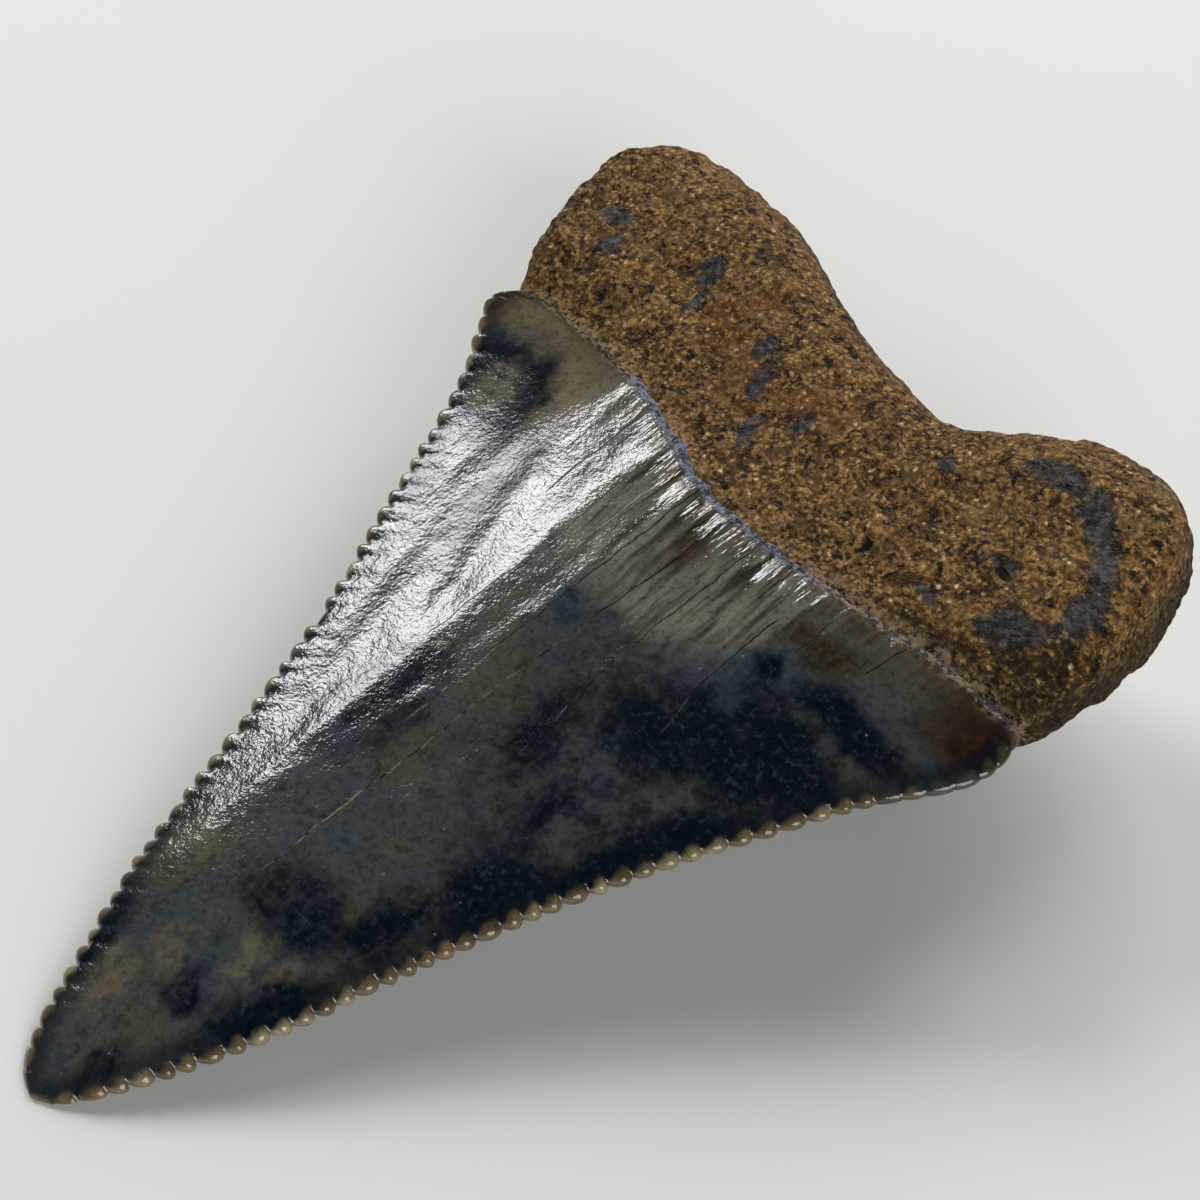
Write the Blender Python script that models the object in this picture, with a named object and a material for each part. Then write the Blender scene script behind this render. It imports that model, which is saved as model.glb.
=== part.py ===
"""Fossil great white shark tooth, an upper tooth lying with its flat outer face up.

The tooth is one closed solid: a serrated crown with its root grown on behind it. It rests on
the tip of the crown and on the bulge at the back of the root, so the blade slopes up from the
tip by REST_TILT. Sizes are in millimetres in the blade's own frame, where q runs across the
blade, s runs from the tip to the root and h stands up from the plane of the cutting edges.
"""
import math
import random

import bmesh
import bpy
from mathutils import Vector

# Driving sizes: the length from the tip to the root lobes in metres, and the slope at rest.
# The outlines below are drawn in the millimetres of a tooth of the drawn length.
TOOTH_LENGTH = 0.057
DRAWN_LENGTH = 57.0
UNIT = TOOTH_LENGTH / DRAWN_LENGTH
REST_TILT = math.radians(12.0)

# Cutting edges: how far each edge stands from the centre line, from the tip to the notch
# where the crown meets the root. The envelope runs over the tops of the serrations.
LEFT_EDGE = [(0.0, 0.25), (0.6, 1.35), (2.0, 2.55), (5.0, 3.97), (10.9, 6.36), (18.7, 8.6), (25.2, 10.7),
             (30.9, 13.1), (37.2, 15.8), (41.0, 17.9), (42.7, 19.05), (43.6, 18.9), (44.3, 18.2)]
RIGHT_EDGE = [(0.0, 0.25), (0.6, 1.25), (2.0, 2.35), (5.0, 3.95), (10.0, 6.05), (13.8, 7.2), (21.3, 9.8),
              (26.8, 12.1), (31.6, 14.5), (35.0, 16.3), (38.3, 18.6), (40.0, 19.1), (41.3, 18.95),
              (42.2, 18.6)]

# Serrations: their number on each edge, where they are sharp, and how deep they are cut.
# The first ones are cut less deeply, over FULL_DEPTH_AFTER serrations. One is missing.
SERRATION_COUNT = 43
RIGHT_SHARP_COUNT = 36
ROWS_PER_SERRATION = 4
SERRATED_FROM = 0.5
LEFT_SERRATED_TO = 43.2
RIGHT_SHARP_TO = 35.4
SERRATION_DEPTH = 0.42
FIRST_DEPTH_SHARE = 0.5
FULL_DEPTH_AFTER = 6.0
SERRATION_REACH = 1.5
NARROW_REACH_SHARE = 0.22
NOTCH_THINNING = 0.6
PITCH_VARIATION = 0.22
SIZE_RANGE = (0.7, 1.1)
MISSING_LEFT = 24
MISSING_SIZE = 0.1
WORN_SIZE = 0.3
SEED = 7

# Thickness of the cutting edge, and where along the blade it reaches that thickness
EDGE_THICKNESS = 0.42
EDGE_THICKENS = (-1.0, 4.0)

# Crown: rise of the flat outer face and depth of the rounded inner face along the blade, and
# the powers that round them across it
OUTER_RISE = [(0.0, 0.2), (2.0, 0.55), (6.0, 0.85), (14.0, 1.15), (26.0, 1.35), (36.0, 1.5), (45.0, 1.6)]
INNER_DEPTH = [(0.0, 0.1), (2.0, 0.35), (6.0, 1.1), (12.0, 2.2), (20.0, 3.5), (30.0, 4.9), (40.0, 6.0),
               (45.0, 6.3)]
OUTER_POWER = 2.4
INNER_POWER = 1.9
GROOVE_DEPTH = 0.13
GROOVE_SHARE = 0.16
GROOVE_WIDTH = 0.045
GROOVE_DEEPENS = (12.0, 30.0)
ACROSS_SHARES = (0.15, 0.32, 0.5, 0.68, 0.85)

# Line where the enamel of the outer face ends, and how far the crown goes on inside the root
ENAMEL_LINE = [(-18.2, 44.3), (-16.3, 44.5), (-11.9, 44.1), (-7.7, 43.6), (-4.6, 42.6), (-1.5, 41.5),
               (2.5, 41.2), (7.2, 41.4), (11.3, 41.8), (16.1, 42.2), (18.6, 42.2)]
SWEEP_FROM = 26.0
SWEEP_TO = 42.0
ENAMEL_LEDGE = 0.25

# Root: outline of its back, and of its front, which lies hidden in the crown
ROOT_BACK = [(-21.3, 52.4), (-21.0, 54.7), (-19.8, 56.3), (-17.4, 57.1), (-13.6, 57.1), (-9.8, 56.5),
             (-5.6, 54.8), (0.0, 53.2), (4.0, 53.0), (7.1, 55.1), (9.3, 56.6), (12.4, 57.1), (15.1, 56.5),
             (17.0, 54.8), (17.8, 52.2)]
ROOT_FRONT = [(-21.3, 52.4), (-20.9, 49.8), (-19.9, 46.6), (-18.4, 44.1), (-14.0, 41.4), (-7.0, 38.3),
              (0.0, 36.6), (7.0, 37.4), (13.0, 39.6), (17.7, 42.3), (18.4, 44.3), (18.6, 47.0), (18.4, 49.8),
              (17.8, 52.2)]
ROOT_STATIONS = 46
ROOT_RING = 28
END_MARGIN = 0.01

# Root: heights of its outer face, its middle plane and its inner face
ROOT_OUTER_RISE = 1.25
ROOT_MID_PLANE = -1.9
LOBE_DEPTH = 6.2
SIDE_DEPTH = 3.9
LOBE_THINS = (9.0, 20.0)
BULGE_DEPTH = 10.75
BULGE_CENTRE = (-0.2, 46.8)
BULGE_SIZE = (10.5, 7.2)
BACK_LIP = 0.45
BACK_LIP_PLACE = 0.82
BACK_LIP_WIDTH = 0.16
RISE_FROM_LINE = 4.0

# Root: rounding of its sections, from the front to the back, and towards the ends of the lobes
END_POWER = 4
FRONT_TO_BACK_POWER = 0.75
OUTER_ROUNDING = 0.55
OUTER_FRONT_ROUNDING = 0.3
INNER_ROUNDING = 1.2
INNER_BACK_ROUNDING = 0.6
OUTER_AT_ENDS = 0.55
INNER_AT_ENDS = 0.2

# Hollow of the nutrient hole on the inner face of the root
NUTRIENT_HOLE = (0.9, 51.3)
NUTRIENT_HOLE_WIDTH = 1.5
NUTRIENT_HOLE_DEPTH = 1.6

# Colour and roughness of the two surfaces
ENAMEL_LOOK = ((0.07, 0.075, 0.08), 0.22)
DENTINE_LOOK = ((0.11, 0.075, 0.045), 0.8)


def through(points, place):
    """Read a smooth curve through the points, given as pairs, at a place along them."""
    last = len(points) - 1
    place = min(max(place, points[0][0]), points[last][0])
    index = 0
    while index < last - 1 and place > points[index + 1][0]:
        index += 1
    slopes = []
    for corner in (index, index + 1):
        before = points[max(corner - 1, 0)]
        after = points[min(corner + 1, last)]
        slopes.append((after[1] - before[1]) / (after[0] - before[0]))
    span = points[index + 1][0] - points[index][0]
    t = (place - points[index][0]) / span
    start = points[index][1]
    end = points[index + 1][1]
    ease = t * t * (3.0 - 2.0 * t)
    bend = t * (1.0 - t) * ((1.0 - t) * slopes[0] - t * slopes[1]) * span
    return start + (end - start) * ease + bend


def along(points, share):
    """Find the point a share of the way along an outline, with its corners rounded."""
    lengths = [0.0]
    for first, second in zip(points, points[1:]):
        lengths.append(lengths[-1] + math.dist(first, second))
    place = share * lengths[-1]
    across = [(length, point[0]) for length, point in zip(lengths, points)]
    upward = [(length, point[1]) for length, point in zip(lengths, points)]
    return through(across, place), through(upward, place)


def blend(low, high, value):
    """Ease from 0 at low to 1 at high."""
    t = min(max((value - low) / (high - low), 0.0), 1.0)
    return t * t * (3.0 - 2.0 * t)


def blade_to_world(q, s, h):
    """Lay a point of the blade down at its resting slope."""
    y = s * math.cos(REST_TILT) - h * math.sin(REST_TILT)
    z = s * math.sin(REST_TILT) + h * math.cos(REST_TILT)
    return Vector((q, y, max(z, 0.0))) * UNIT


def serration_marks(stretches, seed):
    """Space the serrations unevenly along the stretches of an edge, and give each its own size."""
    source = random.Random(seed)
    marks = [SERRATED_FROM]
    sizes = []
    for count, end, size in stretches:
        start = marks[-1]
        steps = [1.0 + source.uniform(-PITCH_VARIATION, PITCH_VARIATION) for _ in range(count)]
        scale = (end - start) / sum(steps)
        for step in steps:
            marks.append(marks[-1] + step * scale)
            sizes.append(size * source.uniform(*SIZE_RANGE))
    return marks, sizes


def edge_rows():
    """Give each row of the crown its place and its notch depth on the left and right edges."""
    left_marks, left_sizes = serration_marks([(SERRATION_COUNT, LEFT_SERRATED_TO, 1.0)], SEED)
    left_sizes[MISSING_LEFT] = MISSING_SIZE
    sharp = (RIGHT_SHARP_COUNT, RIGHT_SHARP_TO, 1.0)
    worn_down = (SERRATION_COUNT - RIGHT_SHARP_COUNT, RIGHT_EDGE[-1][0], WORN_SIZE)
    right_marks, right_sizes = serration_marks([sharp, worn_down], SEED + 1)
    rows = [((0.0, 0.0), (0.0, 0.0))]
    for index in range(SERRATION_COUNT):
        full = SERRATION_DEPTH * min(1.0, FIRST_DEPTH_SHARE + index / FULL_DEPTH_AFTER)
        for step in range(ROWS_PER_SERRATION):
            phase = step / ROWS_PER_SERRATION
            hollow = 1.0 - math.sqrt(math.sin(math.pi * phase))
            pair = []
            for marks, sizes in ((left_marks, left_sizes), (right_marks, right_sizes)):
                place = marks[index] + (marks[index + 1] - marks[index]) * phase
                worn = max(0.0, 1.0 - sizes[index]) if marks is left_marks else 0.0
                pair.append((place, full * (worn + min(sizes[index], 1.0) * hollow)))
            rows.append(tuple(pair))
    rows.append(((LEFT_EDGE[-1][0], 0.0), (RIGHT_EDGE[-1][0], 0.0)))
    return rows


def share_across(q, s):
    """How far across the blade a point lies: 0 at the left cutting edge and 1 at the right."""
    left = -through(LEFT_EDGE, s)
    right = through(RIGHT_EDGE, s)
    return min(max((q - left) / (right - left), 0.0), 1.0)


def half_edge(s):
    """Half the thickness of the cutting edge."""
    return 0.5 * EDGE_THICKNESS * blend(*EDGE_THICKENS, s)


def outer_face(q, s):
    """Height of the flat outer face: slightly crowned, with a long shallow groove on the left."""
    share = share_across(q, s)
    crest = 1.0 - abs(2.0 * share - 1.0) ** OUTER_POWER
    across = math.exp(-((share - GROOVE_SHARE) / GROOVE_WIDTH) ** 2)
    groove = GROOVE_DEPTH * across * blend(*GROOVE_DEEPENS, s)
    return half_edge(s) * (1.0 - crest) + through(OUTER_RISE, s) * crest - groove


def inner_face(q, s):
    """Depth of the rounded inner face, as a height below the cutting edges."""
    arch = 1.0 - abs(2.0 * share_across(q, s) - 1.0) ** INNER_POWER
    return -half_edge(s) * (1.0 - arch) - through(INNER_DEPTH, s) * arch


def crown_ring(left_row, right_row):
    """Work out one ring of the crown: over the outer face, then back under the inner face."""
    left_place, left_notch = left_row
    right_place, right_notch = right_row
    left = -through(LEFT_EDGE, left_place) + left_notch
    right = through(RIGHT_EDGE, right_place) - right_notch
    width = right - left
    inset = min(SERRATION_REACH, NARROW_REACH_SHARE * width)
    offsets = [0.0, inset]
    offsets += [inset + (width - 2.0 * inset) * share for share in ACROSS_SHARES]
    offsets += [width - inset, width]
    sweep = blend(SWEEP_FROM, SWEEP_TO, 0.5 * (left_place + right_place))
    outer = []
    inner = []
    for offset in offsets:
        share = offset / width
        q = left + offset
        s = left_place + (right_place - left_place) * share
        straight = LEFT_EDGE[-1][0] + (RIGHT_EDGE[-1][0] - LEFT_EDGE[-1][0]) * share
        s += (through(ENAMEL_LINE, q) - straight) * sweep
        thinned = 1.0
        if offset in (0.0, width):
            notch = right_notch if offset else left_notch
            thinned = 1.0 - NOTCH_THINNING * notch / SERRATION_DEPTH
        outer.append((q, s, outer_face(q, s) * thinned))
        inner.append((q, s, inner_face(q, s) * thinned))
    return outer + inner[::-1]


def crown_rings():
    """List the crown's rings from the tip to the base."""
    return [crown_ring(left_row, right_row) for left_row, right_row in edge_rows()]


def root_depth(q, s):
    """Depth of the root's inner face under the cutting edges: two lobes and the middle bulge."""
    reach = ((q - BULGE_CENTRE[0]) / BULGE_SIZE[0]) ** 2 + ((s - BULGE_CENTRE[1]) / BULGE_SIZE[1]) ** 2
    bulge = math.exp(-reach)
    hole = math.hypot(q - NUTRIENT_HOLE[0], s - NUTRIENT_HOLE[1]) / NUTRIENT_HOLE_WIDTH
    hollow = NUTRIENT_HOLE_DEPTH * math.exp(-hole * hole)
    lobe = LOBE_DEPTH + (SIDE_DEPTH - LOBE_DEPTH) * blend(*LOBE_THINS, abs(q))
    return lobe + (BULGE_DEPTH - lobe) * bulge - hollow


def root_rise(q, s, t):
    """Height of the root's outer face: just under the enamel at its edge, with a lip at the back."""
    lip = BACK_LIP * math.exp(-((t - BACK_LIP_PLACE) / BACK_LIP_WIDTH) ** 2)
    line = through(ENAMEL_LINE, q)
    under = outer_face(q, s) - ENAMEL_LEDGE
    return under + (ROOT_OUTER_RISE + lip - under) * blend(line, line + RISE_FROM_LINE, s)


def root_ring(share):
    """Work out one ring of the root: from its front, over the outer face, round the back and under."""
    front = along(ROOT_FRONT, share)
    back = along(ROOT_BACK, share)
    end = math.sqrt(1.0 - (2.0 * share - 1.0) ** END_POWER)
    outer_size = OUTER_AT_ENDS + (1.0 - OUTER_AT_ENDS) * end
    inner_size = INNER_AT_ENDS + (1.0 - INNER_AT_ENDS) * end
    ring = []
    for step in range(ROOT_RING):
        turn = 2.0 * math.pi * (step + 0.5) / ROOT_RING
        reach = math.copysign(abs(math.cos(turn)) ** FRONT_TO_BACK_POWER, math.cos(turn))
        side = math.sin(turn)
        t = 0.5 - 0.5 * reach
        q = front[0] + (back[0] - front[0]) * t
        s = front[1] + (back[1] - front[1]) * t
        if side > 0.0:
            rounding = OUTER_ROUNDING - OUTER_FRONT_ROUNDING * end * (1.0 - t)
            h = ROOT_MID_PLANE + (root_rise(q, s, t) - ROOT_MID_PLANE) * side ** rounding * outer_size
        else:
            rounding = INNER_ROUNDING - INNER_BACK_ROUNDING * t
            h = ROOT_MID_PLANE - (root_depth(q, s) + ROOT_MID_PLANE) * (-side) ** rounding * inner_size
        ring.append((q, s, h))
    return ring


def root_rings():
    """List the root's rings from the left lobe to the right lobe."""
    rings = []
    for station in range(ROOT_STATIONS + 1):
        even = station / ROOT_STATIONS
        crowded = 0.5 - 0.5 * math.cos(math.pi * even)
        rings.append(root_ring(END_MARGIN + (1.0 - 2.0 * END_MARGIN) * 0.5 * (crowded + even)))
    return rings


def grow_ring(shape, edges, row):
    """Extrude the last ring's edges, and give the new ring's edges and its points in the same order."""
    grown = bmesh.ops.extrude_edge_only(shape, edges=edges)["geom"]
    fresh = {item for item in grown if isinstance(item, bmesh.types.BMVert)}
    fresh_edges = [item for item in grown if isinstance(item, bmesh.types.BMEdge)
                   and fresh.issuperset(item.verts)]
    fresh_row = [next(edge.other_vert(vert) for edge in vert.link_edges if edge.other_vert(vert) in fresh)
                 for vert in row]
    return fresh_edges, fresh_row


def loft(name, rings):
    """Skin a row of rings: a circle is the first ring, and is extruded to each of the others."""
    shape = bmesh.new()
    row = bmesh.ops.create_circle(shape, cap_ends=False, radius=UNIT, segments=len(rings[0]))["verts"]
    first_edges = list(shape.edges)
    edges = first_edges
    for index, ring in enumerate(rings):
        if index:
            edges, row = grow_ring(shape, edges, row)
        for vert, place in zip(row, ring):
            vert.co = blade_to_world(*place)
    for rim in (first_edges, edges):
        bmesh.ops.contextual_create(shape, geom=rim)
    bmesh.ops.triangulate(shape, faces=[face for face in shape.faces if len(face.verts) > 4])
    bmesh.ops.recalc_face_normals(shape, faces=shape.faces)
    mesh = bpy.data.meshes.new(name)
    shape.to_mesh(mesh)
    shape.free()
    return mesh


def material(name, colour, roughness):
    """Make a plain material with the colour of its surface."""
    made = bpy.data.materials.new(name)
    made.use_nodes = True
    shader = made.node_tree.nodes["Principled BSDF"]
    shader.inputs["Base Color"].default_value = (*colour, 1.0)
    shader.inputs["Roughness"].default_value = roughness
    shader.inputs["Metallic"].default_value = 0.0
    return made


def centre_on_floor(objects):
    """Move the meshes so that the whole tooth stands centred over the origin."""
    corners = [vert.co for item in objects for vert in item.data.vertices]
    middle_x = 0.5 * (min(corner.x for corner in corners) + max(corner.x for corner in corners))
    middle_y = 0.5 * (min(corner.y for corner in corners) + max(corner.y for corner in corners))
    shift = Vector((-middle_x, -middle_y, 0.0))
    for item in objects:
        for vert in item.data.vertices:
            vert.co += shift


def main():
    """Build the tooth: the crown, and the root joined to it as one solid."""
    for item in list(bpy.data.objects):
        bpy.data.objects.remove(item)
    parts = bpy.data.collections.new("shark_tooth")
    guides = bpy.data.collections.new("joined_shapes")
    for group in (parts, guides):
        bpy.context.scene.collection.children.link(group)
    enamel = material("enamel", *ENAMEL_LOOK)
    dentine = material("root_dentine", *DENTINE_LOOK)
    tooth = bpy.data.objects.new("tooth", loft("tooth", crown_rings()))
    root = bpy.data.objects.new("root_shape", loft("root_shape", root_rings()))
    tooth.data.materials.append(enamel)
    root.data.materials.append(dentine)
    parts.objects.link(tooth)
    guides.objects.link(root)
    root.hide_render = True
    root.display_type = "WIRE"
    centre_on_floor((tooth, root))
    join = tooth.modifiers.new("grown_together", "BOOLEAN")
    join.operation = "UNION"
    join.solver = "EXACT"
    join.material_mode = "TRANSFER"
    join.object = root
    tooth.data.shade_smooth()


if __name__ == "__main__":
    main()
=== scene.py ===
"""Fossil great white shark tooth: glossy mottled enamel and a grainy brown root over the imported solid.

The tooth is drawn in millimetres in the blade's own frame: q runs across the blade, s runs from the
tip to the root, and h stands up from the plane of the cutting edges. Blade lays such points down in
the metres of the shared frame, with the slope that the tooth rests at.
"""

import logging
import math
import random
from dataclasses import dataclass
from enum import Enum

import bmesh
import bpy
import numpy as np
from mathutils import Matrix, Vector, noise


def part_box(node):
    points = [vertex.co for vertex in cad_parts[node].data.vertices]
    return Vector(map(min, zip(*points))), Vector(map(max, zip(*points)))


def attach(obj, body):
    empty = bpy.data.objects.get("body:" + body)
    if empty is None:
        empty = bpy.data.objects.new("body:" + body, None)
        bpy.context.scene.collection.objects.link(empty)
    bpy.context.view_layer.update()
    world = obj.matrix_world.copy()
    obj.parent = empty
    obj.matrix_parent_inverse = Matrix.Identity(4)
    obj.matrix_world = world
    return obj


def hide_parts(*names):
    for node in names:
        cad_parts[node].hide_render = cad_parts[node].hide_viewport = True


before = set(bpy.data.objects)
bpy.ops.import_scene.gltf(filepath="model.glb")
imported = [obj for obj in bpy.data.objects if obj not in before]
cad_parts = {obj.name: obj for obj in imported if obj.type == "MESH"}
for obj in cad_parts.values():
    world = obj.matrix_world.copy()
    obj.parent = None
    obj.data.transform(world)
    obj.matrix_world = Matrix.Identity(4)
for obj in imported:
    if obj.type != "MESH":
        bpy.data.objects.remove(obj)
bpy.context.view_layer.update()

NODE = "tooth"
MM = 0.001
SAME_PLACE = 1e-9
NEARLY_0 = 1e-6
TONE_SEED = 50
ENDLESS = 1000.0
STAIN_MERGE = 0.25
CRACK_FADE = 0.82
Array = np.ndarray
Socket = bpy.types.NodeSocket
Node = bpy.types.Node
Span = tuple[float, float]
Points = tuple[Span, ...]
Colour = tuple[float, float, float]


class Edge(Enum):
    """A cutting edge, named by the side of the blade, with the sign of its q."""

    LEFT = -1.0
    RIGHT = 1.0


@dataclass(frozen=True)
class Curve:
    """A smooth curve through points, read at many places at once."""

    points: Points

    def at(self, place: Array) -> Array:
        """Read the curve.

        Args:
            place: Places along the curve. Places past its ends read its ends.

        Returns:
            The height of the curve at each place.
        """
        x, y = np.array(self.points).T
        place = np.clip(place, x[0], x[-1])
        index = np.clip(np.searchsorted(x, place) - 1, 0, len(x) - 2)
        before = np.maximum(np.arange(len(x)) - 1, 0)
        after = np.minimum(np.arange(len(x)) + 1, len(x) - 1)
        slope = (y[after] - y[before]) / (x[after] - x[before])
        span = x[index + 1] - x[index]
        t = (place - x[index]) / span
        bend = t * (1.0 - t) * ((1.0 - t) * slope[index] - t * slope[index + 1]) * span
        return y[index] + (y[index + 1] - y[index]) * t * t * (3.0 - 2.0 * t) + bend


@dataclass(frozen=True)
class Outline:
    """A smooth line through points of the blade's plane, read by the share of its length."""

    points: Points

    def at(self, share: Array) -> tuple[Array, Array]:
        """Read the outline.

        Args:
            share: Shares of the way along, from 0 to 1.

        Returns:
            The q and the s of each point.
        """
        corners = np.array(self.points)
        steps = np.hypot(*np.diff(corners, axis=0).T)
        lengths = np.concatenate([[0.0], np.cumsum(steps)])
        place = share * lengths[-1]
        across = Curve(tuple(zip(lengths, corners[:, 0])))
        upward = Curve(tuple(zip(lengths, corners[:, 1])))
        return across.at(place), upward.at(place)


def blend(low: Array | float, high: Array | float, value: Array) -> Array:
    """Ease from 0 at low to 1 at high.

    Args:
        low: Where the rise starts.
        high: Where it ends.
        value: The values to ease.

    Returns:
        The eased values, from 0 to 1.
    """
    t = np.clip((value - low) / (high - low), 0.0, 1.0)
    return t * t * (3.0 - 2.0 * t)


def bell(value: Array) -> Array:
    """A smooth bump, 1 at 0 and nearly 0 past 2."""
    return np.exp(-value * value)


def grain(places: Array, size: float, shift: float) -> Array:
    """Read smooth noise at many points.

    Args:
        places: Points in millimetres, the last axis being q, s and h.
        size: The size of the noise's lumps in millimetres.
        shift: An offset that makes one noise unlike another.

    Returns:
        Noise from about -1 to 1, one value for each point.
    """
    flat = (places / size + shift).reshape(-1, 3).tolist()
    return np.array([noise.noise(point) for point in flat]).reshape(places.shape[:-1])


@dataclass(frozen=True)
class Lumps:
    """A layer of smooth lumps: height, size, the noise's offset, and the scale along the blade."""

    height: float
    size: float
    shift: float
    along: float = 1.0

    def at(self, places: Array) -> Array:
        """Read the layer's heights at points."""
        return self.height * grain(places * (1.0, self.along, 1.0), self.size, self.shift)


def cells(places: Array, size: float, shift: float) -> Array:
    """Read how close each point lies to the middle of the grain that it falls in.

    Args:
        places: Points in millimetres.
        size: The size of the grains in millimetres.
        shift: An offset that makes one pattern unlike another.

    Returns:
        From 0 in a grain's middle to about 1 at its rim.
    """
    flat = (places / size + shift).reshape(-1, 3).tolist()
    return np.array([noise.voronoi(point)[0][0] for point in flat]).reshape(places.shape[:-1])


@dataclass(frozen=True)
class Blade:
    """The tooth's main shapes, as its solid has them, and the tooth's place in the frame."""

    slope: float = math.radians(12.0)
    left_reach: float = 21.256
    tip_lean: float = 0.042
    left_edge: Curve = Curve((
        (0.0, 0.25), (0.6, 1.35), (2.0, 2.55), (5.0, 3.97), (10.9, 6.36), (18.7, 8.6), (25.2, 10.7),
        (30.9, 13.1), (37.2, 15.8), (41.0, 17.9), (42.7, 19.05), (43.6, 18.9), (44.3, 18.2)))
    right_edge: Curve = Curve((
        (0.0, 0.25), (0.6, 1.25), (2.0, 2.35), (5.0, 3.95), (10.0, 6.05), (13.8, 7.2), (21.3, 9.8),
        (26.8, 12.1), (31.6, 14.5), (35.0, 16.3), (38.3, 18.6), (40.0, 19.1), (41.3, 18.95), (42.2, 18.6)))
    enamel_line: Curve = Curve((
        (-18.2, 44.3), (-16.3, 44.5), (-11.9, 44.1), (-7.7, 43.6), (-4.6, 42.6), (-1.5, 41.5),
        (2.5, 41.2), (7.2, 41.4), (11.3, 41.8), (16.1, 42.2), (18.6, 42.2)))
    outer_rise: Curve = Curve((
        (0.0, 0.2), (2.0, 0.55), (6.0, 0.85), (14.0, 1.15), (26.0, 1.35), (36.0, 1.5), (45.0, 1.6)))
    inner_depth: Curve = Curve((
        (0.0, 0.1), (2.0, 0.35), (6.0, 1.1), (12.0, 2.2), (20.0, 3.5), (30.0, 4.9), (40.0, 6.0), (45.0, 6.3)))
    edge_thickness: float = 0.42
    edge_fade: Span = (-1.0, 4.0)
    outer_fullness: float = 2.4
    inner_fullness: float = 1.9
    groove_depth: float = 0.13
    groove_share: float = 0.16
    groove_width: float = 0.045
    groove_fade: Span = (12.0, 30.0)

    def origin(self) -> Array:
        """Where the blade's tip lies in the frame, in millimetres."""
        low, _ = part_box(NODE)
        return np.array([low.x / MM + self.left_reach, low.y / MM + self.tip_lean, 0.0])

    def lay_down(self, places: Array) -> Array:
        """Lay points of the blade down in the frame, none of them below the floor.

        Args:
            places: Points in the blade's millimetres.

        Returns:
            The same points in the frame's metres.
        """
        q, s, h = np.moveaxis(places, -1, 0)
        y = s * math.cos(self.slope) - h * math.sin(self.slope)
        z = s * math.sin(self.slope) + h * math.cos(self.slope)
        return (np.stack([q, y, np.maximum(z, 0.0)], -1) + self.origin()) * MM

    def edge(self, side: Edge) -> Curve:
        """The outline of one cutting edge, as distances from the centre line."""
        return self.left_edge if side is Edge.LEFT else self.right_edge

    def share_across(self, q: Array, s: Array) -> Array:
        """How far across the blade points lie: 0 at the left edge and 1 at the right."""
        left = -self.left_edge.at(s)
        return np.clip((q - left) / (self.right_edge.at(s) - left), 0.0, 1.0)

    def half_edge(self, s: Array) -> Array:
        """Half the thickness of the cutting edge."""
        return 0.5 * self.edge_thickness * blend(*self.edge_fade, s)

    def outer_face(self, q: Array, s: Array) -> Array:
        """Height of the flat outer face, with its shallow groove beside the left edge.

        Args:
            q: Places across the blade.
            s: Places along the blade.

        Returns:
            The heights above the cutting edges.
        """
        share = self.share_across(q, s)
        crest = 1.0 - np.abs(2.0 * share - 1.0) ** self.outer_fullness
        groove = bell((share - self.groove_share) / self.groove_width) * blend(*self.groove_fade, s)
        return self.half_edge(s) * (1.0 - crest) + self.outer_rise.at(s) * crest - self.groove_depth * groove

    def inner_face(self, q: Array, s: Array) -> Array:
        """Height of the rounded inner face, below the cutting edges.

        Args:
            q: Places across the blade.
            s: Places along the blade.

        Returns:
            The heights, all below 0.
        """
        arch = 1.0 - np.abs(2.0 * self.share_across(q, s) - 1.0) ** self.inner_fullness
        return -self.half_edge(s) * (1.0 - arch) - self.inner_depth.at(s) * arch


@dataclass(frozen=True)
class Serrations:
    """The beads along one cutting edge, spaced unevenly, each of its own size."""

    stretches: tuple[tuple[int, float, float], ...]
    seed: int
    missing: int | None = None
    start: float = 0.5
    variation: float = 0.22
    size_range: Span = (0.7, 1.1)
    missing_size: float = 0.1

    def marks_and_sizes(self) -> tuple[Array, Array]:
        """Space the beads along the edge.

        Returns:
            The places between the beads, one more than there are beads, and the beads' sizes.
        """
        source = random.Random(self.seed)
        marks = [self.start]
        sizes = []
        for count, end, size in self.stretches:
            start = marks[-1]
            steps = [1.0 + source.uniform(-self.variation, self.variation) for _ in range(count)]
            scale = (end - start) / sum(steps)
            for step in steps:
                marks.append(marks[-1] + step * scale)
                sizes.append(size * source.uniform(*self.size_range))
        if self.missing is not None:
            sizes[self.missing] = self.missing_size
        return np.array(marks), np.array(sizes)

    def read(self, s: Array) -> tuple[Array, Array]:
        """Find which bead each place belongs to.

        Args:
            s: Places along the edge.

        Returns:
            The bead's number, and how far through the bead the place lies, from 0 to 1.
        """
        marks, sizes = self.marks_and_sizes()
        index = np.clip(np.searchsorted(marks, s, side="right") - 1, 0, len(sizes) - 1)
        phase = (s - marks[index]) / (marks[index + 1] - marks[index])
        return index, np.clip(phase, 0.0, 1.0)


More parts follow.
